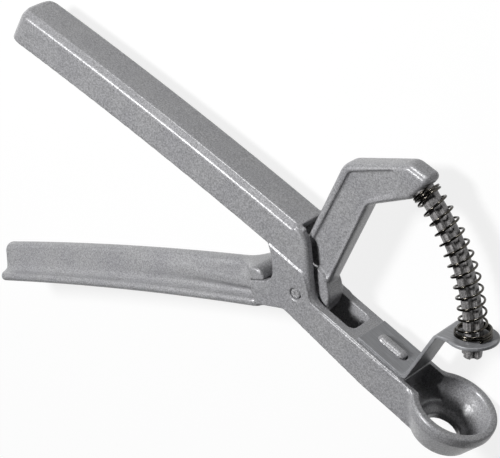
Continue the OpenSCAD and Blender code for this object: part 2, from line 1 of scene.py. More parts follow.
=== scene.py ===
"""Hand olive pitter: two lacquered die castings on one pin, a ribbed steel punch with its return
spring, and a pressed steel ejector, lying on its side on a white studio floor.

Shapes are worked out in millimetres from the pivot, with X to the cup, Y up from the cup's base
and Z along the pin, and are put into the frame's metres when a mesh is made.
"""

import json
import math

import bpy
import numpy as np
from mathutils import Matrix, Vector


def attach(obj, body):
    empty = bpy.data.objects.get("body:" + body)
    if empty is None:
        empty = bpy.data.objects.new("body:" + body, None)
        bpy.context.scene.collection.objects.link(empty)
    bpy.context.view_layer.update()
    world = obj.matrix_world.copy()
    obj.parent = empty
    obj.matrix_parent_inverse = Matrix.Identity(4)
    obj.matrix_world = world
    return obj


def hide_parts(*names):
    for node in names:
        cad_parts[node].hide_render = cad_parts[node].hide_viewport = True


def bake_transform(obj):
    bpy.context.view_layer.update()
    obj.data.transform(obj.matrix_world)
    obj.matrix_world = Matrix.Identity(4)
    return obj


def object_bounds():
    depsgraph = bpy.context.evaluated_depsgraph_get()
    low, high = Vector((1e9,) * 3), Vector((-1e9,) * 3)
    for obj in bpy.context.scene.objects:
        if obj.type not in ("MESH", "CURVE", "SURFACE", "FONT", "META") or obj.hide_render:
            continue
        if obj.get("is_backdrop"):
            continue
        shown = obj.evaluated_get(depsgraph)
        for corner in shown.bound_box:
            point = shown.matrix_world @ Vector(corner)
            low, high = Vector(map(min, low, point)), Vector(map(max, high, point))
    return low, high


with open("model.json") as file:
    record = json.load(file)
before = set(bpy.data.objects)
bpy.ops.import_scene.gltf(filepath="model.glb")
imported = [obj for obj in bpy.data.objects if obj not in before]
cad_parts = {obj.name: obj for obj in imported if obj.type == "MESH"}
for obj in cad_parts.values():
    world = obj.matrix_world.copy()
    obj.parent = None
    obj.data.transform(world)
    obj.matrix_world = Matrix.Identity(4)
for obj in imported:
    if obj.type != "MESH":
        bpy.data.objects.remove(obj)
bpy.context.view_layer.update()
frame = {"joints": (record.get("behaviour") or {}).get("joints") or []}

bl_info = {
    "name": "Olive Pitter",
    "version": (1, 0, 0),
    "blender": (4, 5, 0),
    "location": "View3D > Sidebar > Pitter",
    "description": "Builds a hand olive pitter around its packed frame, with its stage and camera",
    "category": "Object",
}

MM = 0.001
HINGE = next(j for j in frame["joints"] if j["name"] == "squeeze")
PIVOT = np.array(HINGE["pos_m"], float) / MM

# Places and sizes in mm from the pivot, of the frame and then of the lever
CUP_X = -PIVOT[0]
BASE_Y = -PIVOT[1]
RIM_Y = BASE_Y + 11.0
THROAT_R = 5.1
BAR_TOP = 1.3
CAST_SKIN = 2.4
HANDLE_TOP = 17.9
HANDLE_DEPTH = 10.6
HANDLE_HALF = 7.0
CHEEK_HALF = 7.4
SLOT_HALF = 4.3
SHEET = 1.0
PUNCH_R = 52.7
ARM_HALF = 3.5
LOWER_START = 12.0
LOWER_NOSE = 11.1
LOWER_END = 116.0
WEB_FOOT = 3.9

# Angles in degrees at the pivot
ARM_ANGLE = 71.7
RING_ANGLE = 25.8
LEVER_ANGLE = 39.4
NECK_LEAN = 31

# A profile's radius at its axis, and the edge of a solid that is only cut away
AXIS = 0.01
SHARP = 0.01

# A casting's skin: the share of its faces that it keeps
SKIN_KEPT = 0.42

# The camera in metres: its place, its own axes, and its focal length in pixels of the picture
CAMERA_AT = (0.13023263, 0.41007146, 0.45490365)
CAMERA_AXES = (
    (0.71568355, 0.33118466, -0.61490957),
    (-0.61964684, 0.70729346, -0.34025541),
    (0.32223415, 0.62454198, 0.71141582),
)
FOCAL, PICTURE_WIDTH = 2317.8, 500
TOOL_MIDDLE = (-0.06, 0.02, 0.0)
FLOOR_HALF = 4


# ------------------------------------------------------------------ colour, mesh and curve helpers


def linear(code):
    """The linear RGBA of an sRGB hex code."""
    srgb = np.array([int(code[i : i + 2], 16) for i in (1, 3, 5)]) / 255
    rgb = np.where(srgb <= 0.04045, srgb / 12.92, ((srgb + 0.055) / 1.055) ** 2.4)
    return (*rgb.tolist(), 1.0)


def per_mm(size):
    """The scale that gives a pattern on Object coordinates features of this size in mm."""
    return 1 / (size * MM)


def polar(r, degrees):
    """The place at this distance and angle from the pivot."""
    return np.array([r * math.cos(math.radians(degrees)), r * math.sin(math.radians(degrees))])


def rounded(corners, step=9):
    """The closed outline of corners (x, y, r), each turned into an arc of radius r that touches
    both its sides, in steps of about this many degrees. A corner of radius 0 stays one point."""
    pts = np.array([c[:2] for c in corners], float)
    out = []
    for i, corner in enumerate(corners):
        here, back, ahead = pts[i], pts[i - 1], pts[(i + 1) % len(pts)]
        u, v = (here - back), (ahead - here)
        u, v = u / np.linalg.norm(u), v / np.linalg.norm(v)
        bend = math.atan2(u[0] * v[1] - u[1] * v[0], u @ v)
        r = corner[2]
        if r == 0 or abs(bend) < 0.01:
            out.append(here[None])
            continue
        side = 1 if bend > 0 else -1
        centre = here - r * math.tan(abs(bend) / 2) * u + side * r * np.array([-u[1], u[0]])
        start = math.atan2(-side * u[0], side * u[1])
        n = max(2, math.ceil(abs(math.degrees(bend)) / step))
        a = start + bend * np.linspace(0, 1, n + 1)
        out.append(centre + r * np.stack([np.cos(a), np.sin(a)], 1))
    return np.concatenate(out)


def inset(corners, depth):
    """The corners of an outline drawn in by a depth: each corner moves along its mitre, a round
    corner gets a smaller radius and a hollow one a larger."""
    pts = np.array([c[:2] for c in corners], float)
    back, ahead = pts - np.roll(pts, 1, 0), np.roll(pts, -1, 0) - pts
    bend = back[:, 0] * ahead[:, 1] - back[:, 1] * ahead[:, 0]
    area = (pts[:, 0] * np.roll(pts[:, 1], -1) - pts[:, 1] * np.roll(pts[:, 0], -1)).sum()
    r = np.array([c[2] for c in corners], float)
    r = np.maximum(r - depth * np.sign(bend * area), 0.12)
    return np.column_stack([pts - depth * outward(pts), r])


def oblong(length, width, n=10):
    """A rectangle with half-round ends, its middle at zero and its length along the first axis."""
    r = width / 2
    a = np.linspace(-90, 90, n) * math.pi / 180
    end = np.stack([length / 2 - r + r * np.cos(a), r * np.sin(a)], 1)
    return np.concatenate([end, -end])


def outward(outline):
    """The mitred outward normal at each point of a closed outline, so that moving the points
    along it moves each side by the same distance."""
    ahead = np.roll(outline, -1, 0) - outline
    ahead /= np.linalg.norm(ahead, axis=1, keepdims=True)
    n_ahead = np.stack([ahead[:, 1], -ahead[:, 0]], 1)
    n_back = np.roll(n_ahead, 1, 0)
    mitre = (n_ahead + n_back) / (1 + (n_ahead * n_back).sum(1, keepdims=True))
    x, y = outline[:, 0], outline[:, 1]
    area = (x * np.roll(y, -1) - y * np.roll(x, -1)).sum()
    return mitre if area > 0 else -mitre


def make_mesh(name, points, faces):
    """A mesh object of mm points from the pivot, with its faces turned to point outwards."""
    mesh = bpy.data.meshes.new(name)
    mesh.from_pydata((np.asarray(points, float) + PIVOT) * MM, [], faces)
    mesh.update()
    made = bpy.data.objects.new(name, mesh)
    bpy.context.scene.collection.objects.link(made)
    co = np.array([v.co for v in mesh.vertices])
    mesh.calc_loop_triangles()
    tri = np.array([t.vertices for t in mesh.loop_triangles])
    volume = np.einsum("ij,ij->", co[tri[:, 0]], np.cross(co[tri[:, 1]], co[tri[:, 2]]))
    if volume < 0:
        mesh.flip_normals()
    return made


def skin(name, rings, loop=False):
    """A closed skin over a grid of points: each row of rings is a closed section, and either the
    rows close on themselves or the first and last rows are capped."""
    rows, cols = rings.shape[:2]
    index = np.arange(rows * cols).reshape(rows, cols)
    here = index if loop else index[:-1]
    above = np.roll(index, -1, 0) if loop else index[1:]
    quads = np.stack([here, np.roll(here, -1, 1), np.roll(above, -1, 1), above], -1).reshape(-1, 4)
    faces = quads.tolist()
    if not loop:
        faces += [index[0, ::-1].tolist(), index[-1].tolist()]
    return make_mesh(name, rings.reshape(-1, 3), faces)


def slab(name, outline, low, high, edge, axes="xyz"):
    """A plate: an outline carried from height low to height high, drawn in by a quarter circle of
    radius edge at each face. Axes says which of x, y and z the outline's two axes and its height
    become."""
    a = np.linspace(0, math.pi / 2, 5)
    depth = np.concatenate([edge * (1 - np.sin(a)), edge * (1 - np.cos(a))])
    height = np.concatenate([low + edge * (1 - np.cos(a)), high - edge * (1 - np.sin(a))])
    flat = outline[None] - depth[:, None, None] * outward(outline)[None]
    tall = np.broadcast_to(height[:, None, None], (*flat.shape[:2], 1))
    parts = dict(zip(axes, np.moveaxis(np.concatenate([flat, tall], 2), 2, 0)))
    return skin(name, np.stack([parts[k] for k in "xyz"], -1))


def plate(name, corners, low, high, edge, height):
    """A plate whose edges are rounded by a quarter of an ellipse, edge mm wide and height mm deep.
    Its outline is drawn in corner by corner, so that the edge may be wider than a corner."""
    a = np.linspace(0, math.pi / 2, 8)
    depth = np.concatenate([edge * (1 - np.sin(a)), edge * (1 - np.cos(a))])
    z = np.concatenate([low + height * (1 - np.cos(a)), high - height * (1 - np.sin(a))])
    flat = np.stack([rounded(inset(corners, d)) for d in depth])
    tall = np.broadcast_to(z[:, None, None], (*flat.shape[:2], 1))
    return skin(name, np.concatenate([flat, tall], 2))


def turned(name, profile, centre, axis="y", sides=96):
    """A solid of revolution: a profile of (radius, height) carried round an axis through centre."""
    a = np.linspace(0, 2 * math.pi, sides, endpoint=False)
    r, h = np.asarray(profile, float).T
    around = np.stack([r[:, None] * np.cos(a), r[:, None] * np.sin(a)], -1)
    tall = np.broadcast_to(h[:, None], around.shape[:2])
    if axis == "y":
        rings = np.stack([around[..., 0], tall, around[..., 1]], -1)
    else:
        rings = np.stack([around[..., 0], around[..., 1], tall], -1)
    return skin(name, rings + np.asarray(centre, float))


def finish_modifiers(obj):
    """Replaces an object's mesh by what its modifiers make of it."""
    graph = bpy.context.evaluated_depsgraph_get()
    mesh = bpy.data.meshes.new_from_object(obj.evaluated_get(graph))
    mesh.name = obj.name
    obj.modifiers.clear()
    obj.data = mesh


def join(base, others, how):
    """Adds the other solids to the base, or cuts them from it, and removes them."""
    for other in others:
        mod = base.modifiers.new("join", "BOOLEAN")
        mod.operation = how
        mod.solver = "MANIFOLD"
        mod.object = other
        finish_modifiers(base)
        bpy.data.objects.remove(other)
    return base


def melt(obj, cell, rounds, kept=1.0):
    """Gives a solid the soft edges and hollow corners of a casting: one even skin of cells of this
    size in mm, smoothed this many rounds. Where kept is a share, the flat parts lose most faces."""
    remesh = obj.modifiers.new("even", "REMESH")
    remesh.mode = "VOXEL"
    remesh.voxel_size = cell * MM
    remesh.use_smooth_shade = True
    smooth = obj.modifiers.new("soft", "SMOOTH")
    smooth.factor = 0.5
    smooth.iterations = rounds
    if kept < 1:
        fewer = obj.modifiers.new("fewer", "DECIMATE")
        fewer.ratio = kept
    finish_modifiers(obj)
    obj.data.shade_smooth()
    return obj


# ------------------------------------------------------------------ shapes of the frame casting


class Bow:
    """A shallow arc from start to end that rises this much above its chord. Its radius is the
    chord squared over eight rises, plus half the rise. at(s, h) is the place s mm along the arc
    from its start and h mm above it."""

    def __init__(self, start, end, rise):
        self.start, self.end = np.array(start, float), np.array(end, float)
        chord = self.end - self.start
        self.length = np.linalg.norm(chord)
        self.along = chord / self.length
        self.up = np.array([-self.along[1], self.along[0]])
        if self.up[1] < 0:
            self.up = -self.up
        self.radius = self.length**2 / 8 / rise + rise / 2
        self.centre = (self.start + self.end) / 2 + (rise - self.radius) * self.up

    def at(self, s, h):
        a = (np.asarray(s, float) - self.length / 2) / self.radius
        out = np.sin(a)[..., None] * self.along + np.cos(a)[..., None] * self.up
        return self.centre + (self.radius + np.asarray(h, float))[..., None] * out


HANDLE_BOW = Bow((-8.1, 7.3), (-113.5, 2.2), 1.05)


def round_end(distance, radius):
    """How much is taken off each side at this distance from an end of this corner radius."""
    d = np.clip(distance, 0, radius)
    return radius - np.sqrt(np.maximum(radius**2 - (radius - d) ** 2, 0))


def handle_solid(name, half, low, high, bevel, start, end, plan_r, side_r, lean):
    """The handle's section carried along its arc: a box of half width half, from height low to high
    above the handle's lower edge, with a soft bevel (width, drop) and a slight crown on top. Its
    last part narrows by the plan's corner radius, flattens by the side's, and leans so that its
    lower edge reaches farther than its top."""
    quarter = np.sin(np.linspace(0, math.pi / 2, 14)[1:])
    s = np.concatenate([np.linspace(start, end - plan_r, 40), end - plan_r + plan_r * quarter])
    s = np.minimum(s, end - 0.02)[:, None]
    w = half - round_end(end - s, plan_r)
    top = high - round_end(end - s, side_r)
    wide, drop = bevel
    side = np.array([[0, 0, 0.08, 0.3, 0.62, 1]]) * wide
    fall = np.array([[1.9, 1.45, 1.1, 0.78, 0.45, 0]]) * drop
    inner = np.maximum(w - wide, 0.3)
    z = np.concatenate([w, np.maximum(w - side, inner), inner * 0.5], 1)
    h = np.concatenate([low + 0 * s, top - fall, top + 0.12], 1)
    z = np.concatenate([z, -z[:, ::-1]], 1)
    h = np.concatenate([h, h[:, ::-1]], 1)
    push = lean * np.clip((s - end + 12) / 12, 0, 1) * (1 - np.clip(h / high, 0, 1))
    xy = HANDLE_BOW.at(s + push, h)
    return skin(name, np.concatenate([xy, z[..., None]], -1))


def flare(name):
    """The hollow corners between bar and cup. At each height the outline runs along the bar, turns
    on an arc of fillet radius to meet the cup's circle there, and is closed across the cup. A
    quarter circle draws it in at the top."""
    fillet, reach_in, edge = 9.0, 4.0, 0.9
    a = np.linspace(0, math.pi / 2, 6)
    heights = np.concatenate([BAR_TOP - 0.1 - edge * (1 - np.cos(a)), np.linspace(-0.6, -7.6, 10)])
    in_by = np.concatenate([edge * (1 - np.sin(a)), np.zeros(10)])
    cup = np.interp(-heights, [-RIM_Y, 0.9, -BASE_Y], [12.4, 12.3, 8.9]) - in_by
    side = CHEEK_HALF - 0.02 - in_by
    fillet = fillet + in_by
    run = np.sqrt((cup + fillet) ** 2 - (side + fillet) ** 2)
    turn = np.arctan2(run, side + fillet)
    a = turn[:, None] * np.linspace(0, 1, 14)[None]
    x = CUP_X - run[:, None] + fillet[:, None] * np.sin(a)
    z = side[:, None] + fillet[:, None] * (1 - np.cos(a))
    first = CUP_X - run[:, None] - reach_in
    last = np.full_like(first, CUP_X)
    xs = np.concatenate([first, x, last], 1)
    zs = np.concatenate([side[:, None], z, z[:, -1:]], 1)
    xs, zs = np.concatenate([xs, xs[:, ::-1]], 1), np.concatenate([zs, -zs[:, ::-1]], 1)
    ys = np.broadcast_to(heights[:, None], xs.shape)
    return skin(name, np.stack([xs, ys, zs], -1))


def lever_point(s, t):
    """A place in the lever's own axes, s out along the lower handle and t up from it."""
    a = math.radians(LEVER_ANGLE)
    return np.array([-s * math.cos(a) - t * math.sin(a), -s * math.sin(a) + t * math.cos(a)])


def cheek_outline():
    """The cheeks and bar from the side, from the neck along their top to the cup and back along
    their underside, with the ear that stops the lever's shoulder."""
    ear = [(9.3, 3.25), (14.95, 3.25), (15.3, -0.2), (14.8, -3.7)]
    ear_in, ear_out, ear_mid, ear_low = (lever_point(*p) for p in ear)
    return rounded(
        [
            (-13.5, 7.4, 0),
            (-0.2, 7.4, 2),
            (5.2, BAR_TOP, 2.75),
            (CUP_X, BAR_TOP, 0),
            (CUP_X, -9.2, 0),
            (28.8, -9.0, 8),
            (-1.0, -6.8, 3),
            (*ear_low, 1.2),
            (*ear_mid, 6.0),
            (*ear_out, 0.4),
            (*ear_in, 1.6),
            (-8.0, -0.6, 2),
            (-9.5, 2.4, 0),
            (-11.0, 4.9, 0),
        ]
    )


def neck_outline():
    """The neck from the side: its front leans back by a fixed angle from the bar's top to the
    handle's."""
    run = (HANDLE_TOP - BAR_TOP) * math.tan(math.radians(NECK_LEAN))
    return rounded(
        [
            (-9.1, 5.3, 0),
            (-9.1, HANDLE_TOP, 0),
            (5.2 - run, HANDLE_TOP, 7.5),
            (5.2, BAR_TOP, 5.5),
            (13.2, BAR_TOP, 0),
            (9.2, BAR_TOP - 3, 0),
            (-4.0, BAR_TOP - 3, 0),
        ]
    )


def bar_bevel(side):
    """What the bevel takes off one top edge of the bar: a three-sided prism along it."""
    y = BAR_TOP + np.array([-0.8, 0.3, 0.3])
    z = side * (CHEEK_HALF + np.array([0.3, -0.8, 0.3]))
    x = np.array([7.5, 9.5, 36.5, 40.5])
    lift = np.array([0.8, 0.0, 0.0, 0.8])
    rings = np.stack(np.broadcast_arrays(x[:, None], y[None] + lift[:, None], z[None]), -1)
    return skin("bar_bevel", rings)


def frame_casting(name, sizes):
    """The fixed handle, cheeks, bar, lug stem and cup as one casting: the solids are added up, the
    hollows are cut from them, and the whole is given a cast skin."""
    bevel = (sizes.bevel_wide / MM, sizes.bevel_drop / MM)
    body = handle_solid(name, HANDLE_HALF, 0.0, HANDLE_DEPTH, bevel, -2.0, 105.5, 4.0, 2.2, 1.5)
    cup = [
        (AXIS, BASE_Y),
        (8.2, BASE_Y),
        (8.9, BASE_Y + 0.7),
        (12.4, RIM_Y - 3),
        (12.5, RIM_Y - 2),
        (12.5, RIM_Y - 0.5),
        (12.1, RIM_Y),
        (AXIS, RIM_Y),
    ]
    solids = [
        slab("neck", neck_outline(), -HANDLE_HALF + 0.01, HANDLE_HALF - 0.01, 1.2),
        slab("cheeks", cheek_outline(), -CHEEK_HALF, CHEEK_HALF, 0.15),
        flare("flare"),
        turned("cup", cup, (CUP_X, 0, 0)),
        slab("lug_stem", oblong(8.6, 2.6) + (29.3, 0), BAR_TOP - 0.5, BAR_TOP + 1.1, 0.05, "xzy"),
    ]
    join(body, solids, "UNION")
    half, deep = SLOT_HALF, -30
    handle_roof, bar_roof, trough_floor = HANDLE_TOP - CAST_SKIN, BAR_TOP - CAST_SKIN, BAR_TOP - 6.6
    slot = [(-8.1, -half, 0), (18.5, -half, 2), (18.5, half, 2), (-8.1, half, 0)]
    under = [(-20, deep, 0), (-8.0, deep, 0), (-8.0, handle_roof, 0), (-20, handle_roof, 0)]
    hollow = [(16.5, deep, 0), (36.4, deep, 0), (36.4, bar_roof, 1), (16.5, bar_roof, 1)]
    trough = [(38.8, trough_floor, 0), (CUP_X, trough_floor, 0), (CUP_X, 12, 0), (38.8, 12, 0)]
    bowl = [
        (AXIS, BASE_Y + 2),
        (THROAT_R, BASE_Y + 2),
        (6.8, BASE_Y + 3.2),
        (8.9, RIM_Y - 4.4),
        (9.7, RIM_Y - 2),
        (10.0, RIM_Y - 0.4),
        (10.4, RIM_Y),
        (10.4, RIM_Y + 2),
        (AXIS, RIM_Y + 2),
    ]
    cutters = [
        handle_solid("channel", 4.8, -3.0, 8.0, (0.3, 0.5), -2.0, 103.3, 2.0, 1.0, 0.0),
        slab("slot", rounded(slot), deep, -deep, SHARP, "xzy"),
        slab("under_slot", rounded(under), -half, half, SHARP),
        slab("bar_hollow", rounded(hollow), -4.8, 4.8, SHARP),
        slab("trough", rounded(trough), -5.8, 5.8, SHARP),
        turned("bowl", bowl, (CUP_X, 0, 0)),
        turned("throat", [(THROAT_R, BASE_Y - 1), (THROAT_R, BASE_Y + 3)], (CUP_X, 0, 0)),
        turned("pin_hole", [(1.58, -9), (1.58, 9)], (0, 0, 0), "z"),
        turned("near_pocket", [(1.74, 6.2), (1.74, 9)], (0.34, 0.1, 0), "z"),
        turned("far_pocket", [(1.74, -9), (1.74, -6.2)], (0.34, 0.1, 0), "z"),
        *[bar_bevel(side) for side in (-1, 1)],
    ]
    join(body, cutters, "DIFFERENCE")
    return melt(body, sizes.cast_cell / MM, sizes.cast_soft, SKIN_KEPT)


# ------------------------------------------------------------------ shapes of the lever casting

LOWER_BOW = Bow((LOWER_START, -5.5), (LOWER_END, -2.2), 1.2)


def lower_height(s):
    """The lower handle's height s mm out from the pivot, falling evenly to its end."""
    return 12.45 - 2.0 * (np.asarray(s, float) - LOWER_START) / (LOWER_END - LOWER_START)


def in_lever(points):
    """Puts points of (s, t, z) in the lever's own axes where the lever stands at rest."""
    a = math.radians(LEVER_ANGLE)
    s, t, z = np.moveaxis(points, -1, 0)
    return np.stack([-s * math.cos(a) - t * math.sin(a), -s * math.sin(a) + t * math.cos(a), z], -1)


def handle_steps():
    """Places along the lower handle, closer together round its nose, its flange's end and its end."""
    quarter = np.sin(np.linspace(0, math.pi / 2, 10))
    nose = 11.15 + 3.4 * (1 - quarter[::-1])
    flange_end, middle = np.linspace(14.7, 18.5, 16), np.linspace(19, 114, 70)
    return np.concatenate([nose, flange_end, middle, 114 + 1.98 * quarter[1:]])


def half_wave(x):
    """A smooth step from 0 to 1 as x goes from 0 to 1: half of a cosine wave."""
    return 0.5 - 0.5 * np.cos(math.pi * np.clip(x, 0, 1))


def lower_handle(name):
    """Web and flange in one section, carried along the handle's arc. From the bottom up, each half
    is the flat underside, the flange's round bead, a hollow that sweeps up to the web's foot, the
    web's face, and a crown of a quarter of an ellipse. The web's face is an even taper plus the
    shoulder's swell, which fades out along the handle and toward the top. Near the nose the taper
    is left out and the crown is lower and squarer, so that the shoulder ends in a blunt face."""
    s = handle_steps()[:, None]
    end = round_end(LOWER_END - s, 2.0)
    nose = round_end(s - LOWER_NOSE, 3.4)
    top = lower_height(s) - end - nose
    fade = np.exp(-((np.maximum(s, 17) - 17) / 24) ** 1.5)
    near = np.exp(-((np.maximum(s - 14.6, 0) / 4) ** 2))

    # the flange, whose bead turns a little past its widest place
    bead, lift, turn = 1.3, 1.35, math.radians(60)
    flange = 6.6 - round_end(LOWER_END - s, 1.6) - round_end(s - 14.6, 2.4)
    flange = np.where(s < 14.7, 5.0, np.maximum(flange, 5.0))
    a = np.linspace(-math.pi / 2, turn, 10)[None]
    flat = np.array([[0.0, 0.5]])

    # the hollow, a curve of the second degree from the bead to the web's foot
    foot = 2.9 + 0.8 * fade - 0.3 * end - round_end(s - LOWER_NOSE, 0.8)
    u = np.linspace(0, 1, 9)[None]
    bead_z, bead_h = flange - bead + bead * 0.5, lift * (1 + math.sin(turn))
    groove_z = (1 - u) ** 2 * bead_z + 2 * u * (1 - u) * (foot + 0.2) + u**2 * foot
    groove_h = 0 * s + (1 - u) ** 2 * bead_h + 2 * u * (1 - u) * 2.75 + u**2 * WEB_FOOT

    # the web's face and crown
    crown = 1.5 - 0.8 * near
    v = np.linspace(0, 1, 16)[None, 1:]
    face_h = WEB_FOOT + (top - crown - WEB_FOOT) * v
    swell = half_wave((face_h - WEB_FOOT) / 2.4)
    narrow = half_wave((face_h - 7.6) / 3.6)
    face_z = foot - 0.9 * v * (1 - near) + fade * (3.1 * swell - 3.7 * narrow * (1 - near))
    b = np.linspace(0, math.pi / 2, 8)[None, 1:]
    crown_z = face_z[:, -1:] * np.cos(b) ** (1 - 0.75 * near)
    crown_h = top - crown + crown * np.sin(b)

    bead_side, bead_up = flange - bead + bead * np.cos(a), 0 * s + lift * (1 + np.sin(a))
    z = np.concatenate([flat * (flange - bead), bead_side, groove_z[:, 1:], face_z, crown_z], 1)
    h = np.concatenate([0 * s + 0 * flat, bead_up, groove_h[:, 1:], face_h, crown_h], 1)
    z = np.concatenate([z, -z[:, -2:0:-1]], 1)
    h = np.concatenate([h, h[:, -2:0:-1]], 1)
    st = LOWER_BOW.at(np.broadcast_to(s - LOWER_START, h.shape), h)
    return skin(name, in_lever(np.concatenate([st, z[..., None]], -1)))


def lever_slab(name, corners, half, edge):
    """A slab whose outline is given in the lever's own axes."""
    moved = [(*lever_point(c[0], c[1]), c[2]) for c in corners]
    return slab(name, rounded(moved), -half, half, edge)


ARM_END = polar(PUNCH_R, ARM_ANGLE)


def arm_corners():
    """The punch arm's corners from the side, from the hub up its front, square to the punch at its
    end, and back down its rear."""
    out, back = polar(PUNCH_R + 5.9, ARM_ANGLE), polar(PUNCH_R - 3.6, ARM_ANGLE)
    nose = out[0] - 7.9
    return [
        (-6.0, -2.0, 0.2),
        (5.7, -2.0, 0.2),
        (5.7, 36.2, 3),
        (*back, 0.9),
        (*out, 1.6),
        (nose, 41.8 + (nose + 6) * math.tan(math.radians(39.2)), 4),
        (-6.0, 41.8, 5),
    ]


def arm_recess(name, side):
    """The recess in one face of the arm: its outline at the floor, opening out by the draft. It
    ends on the hub's circle."""
    x, y = ARM_END
    hub = [(*polar(9.2, angle), 0.1) for angle in (115, 100, 85, 70, 58)]
    corners = [
        *hub,
        (4.7, 36.9, 3),
        (x - 5.4, y - 5.4, 1.2),
        (x - 6.6, y + 0.2, 2),
        (x - 9.0, y + 0.8, 2),
        (-3.2, 41.2, 2.5),
    ]
    heights = np.array([ARM_HALF - 0.9, ARM_HALF - 0.8, ARM_HALF - 0.55, ARM_HALF + 1.0])
    flat = np.stack([rounded(inset(corners, d)) for d in (0.5, 0.2, 0.0, -0.75)])
    tall = np.broadcast_to((side * heights)[:, None, None], (*flat.shape[:2], 1))
    return skin(name, np.concatenate([flat, tall], 2))


def ear_room(name, side):
    """The space that the cheeks' ears swing through, beside the lever's hub."""
    a = np.radians(np.linspace(12.63, -90, 30))
    arc = 15.45 * np.stack([np.cos(a), np.sin(a)], 1)
    outline = np.array([lever_point(*p) for p in [(0.0, 3.38), *arc]])
    low, high = sorted((side * ARM_HALF, side * 13.0))
    return slab(name, outline, low, high, SHARP)


def lever_casting(name, sizes):
    """The swinging handle, shoulder, hub and punch arm as one casting."""
    handle = lower_handle(name)
    join(handle, [ear_room("near_room", 1), ear_room("far_room", -1)], "DIFFERENCE")
    arm = plate("arm", arm_corners(), -ARM_HALF, ARM_HALF, 1.6, sizes.arm_edge / MM)
    join(arm, [arm_recess("near_recess", 1), arm_recess("far_recess", -1)], "DIFFERENCE")
    pad = [(AXIS, -3.49), (8.2, -3.49), (8.6, -3.1), (8.6, 3.1), (8.2, 3.49), (AXIS, 3.49)]
    boss = [(AXIS, -4.05), (5, -4.05), (5, 4.05), (AXIS, 4.05)]
    tang = [(0, -6.5, 0), (20, -4.7, 0), (20, 5, 0), (16, 2.6, 0), (0, 2.6, 0)]
    hub = [turned("hub_pad", pad, (0, 0, 0), "z"), turned("boss", boss, (0, 0, 0), "z")]
    join(handle, [lever_slab("tang", tang, ARM_HALF - 0.03, 0.3), *hub, arm], "UNION")
    return melt(handle, sizes.cast_cell / MM, sizes.cast_soft - 1, SKIN_KEPT)


# ------------------------------------------------------------------ shapes of the steel pieces


def along_punch(angle, out, z):
    """Places round the punch's arc: at these angles, this far out from the arc, and at this z."""
    r = PUNCH_R + out
    return np.stack([r * np.cos(angle), r * np.sin(angle), z + 0 * angle], -1)


def punch(name, sizes):
    """A ribbed rod bent on the punch's arc. Its section is a circle with four hollow grooves, and
    the grooves run out near the arm."""
    tip, top = math.radians(20), math.radians(ARM_ANGLE + 3)
    a = np.concatenate([tip + np.array([0, 0.002, 0.006]), np.linspace(tip + 0.012, top, 150)])[:, None]
    psi = np.linspace(0, 2 * math.pi, 120, endpoint=False)[None]
    r, groove, depth = sizes.punch_d / 2 / MM, 1.25, sizes.punch_groove / MM
    centre = r - depth + groove
    off = np.abs(psi % (math.pi / 2) - math.pi / 4)
    inside = np.maximum(groove**2 - (centre * np.sin(off)) ** 2, 0)
    hollow = np.where(inside > 0, centre * np.cos(off) - np.sqrt(inside), r)
    fade = np.clip((top - 0.09 - a) / 0.12, 0, 1)
    rho = r - (r - np.minimum(hollow, r)) * fade
    rho = rho - np.interp(a - tip, [0, 0.002, 0.006, 0.012], [0.45, 0.25, 0.06, 0])
    made = skin(name, along_punch(a + 0 * psi, rho * np.cos(psi), rho * np.sin(psi)))
    made.data.shade_smooth()
    return made


# Turns of the spring from the ring to the arm, and the pitch in mm of its close ones
FOOT_COILS, OPEN_COILS, HEAD_COILS = 2.75, 12.25, 2.0
CLOSE_PITCH = 0.72
WIRE_SIDES = 12


def spring_course(n, wire, coil_r, foot_r):
    """Angle on the punch's arc and coil radius after n coils: close coils on the ring, open coils,
    and close coils under the arm."""
    foot = math.radians(RING_ANGLE) + (SHEET / 2 + wire / 2 + 0.02) / PUNCH_R
    room = (math.radians(ARM_ANGLE) - foot) * PUNCH_R - wire / 2 - 0.02
    pitch = (room - CLOSE_PITCH * (FOOT_COILS + HEAD_COILS)) / OPEN_COILS
    middle = np.clip(n - FOOT_COILS, 0, OPEN_COILS)
    ends = np.minimum(n, FOOT_COILS) + np.clip(n - FOOT_COILS - OPEN_COILS, 0, None)
    u = np.clip(n - FOOT_COILS + 0.6, 0, 1)
    swing = foot_r + (coil_r - foot_r) * u * u * (3 - 2 * u)
    return foot + (CLOSE_PITCH * ends + pitch * middle) / PUNCH_R, swing


def return_spring(name, sizes):
    """A round wire carried along a helix whose axis is the punch's arc. Each ring of the wire is
    square to the helix, from its tangent and the direction away from the punch."""
    turns = FOOT_COILS + OPEN_COILS + HEAD_COILS
    wire = sizes.wire / MM
    n = np.linspace(0, turns, int(turns * 32))
    angle, swing = spring_course(n, wire, sizes.coil_r / MM, sizes.foot_r / MM)
    phase = 2 * math.pi * (n - 0.1)
    path = along_punch(angle, swing * np.cos(phase), -swing * np.sin(phase))
    tangent = np.gradient(path, axis=0)
    tangent /= np.linalg.norm(tangent, axis=1, keepdims=True)
    out = np.stack([np.cos(phase) * np.cos(angle), np.cos(phase) * np.sin(angle), -np.sin(phase)], -1)
    side = np.cross(tangent, out)
    side /= np.linalg.norm(side, axis=1, keepdims=True)
    lift = np.cross(side, tangent)
    b = np.linspace(0, 2 * math.pi, WIRE_SIDES, endpoint=False)[None, :, None]
    rings = path[:, None] + wire / 2 * (np.cos(b) * lift[:, None] + np.sin(b) * side[:, None])
    made = skin(name, rings)
    made.data.shade_smooth()
    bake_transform(made)
    return made


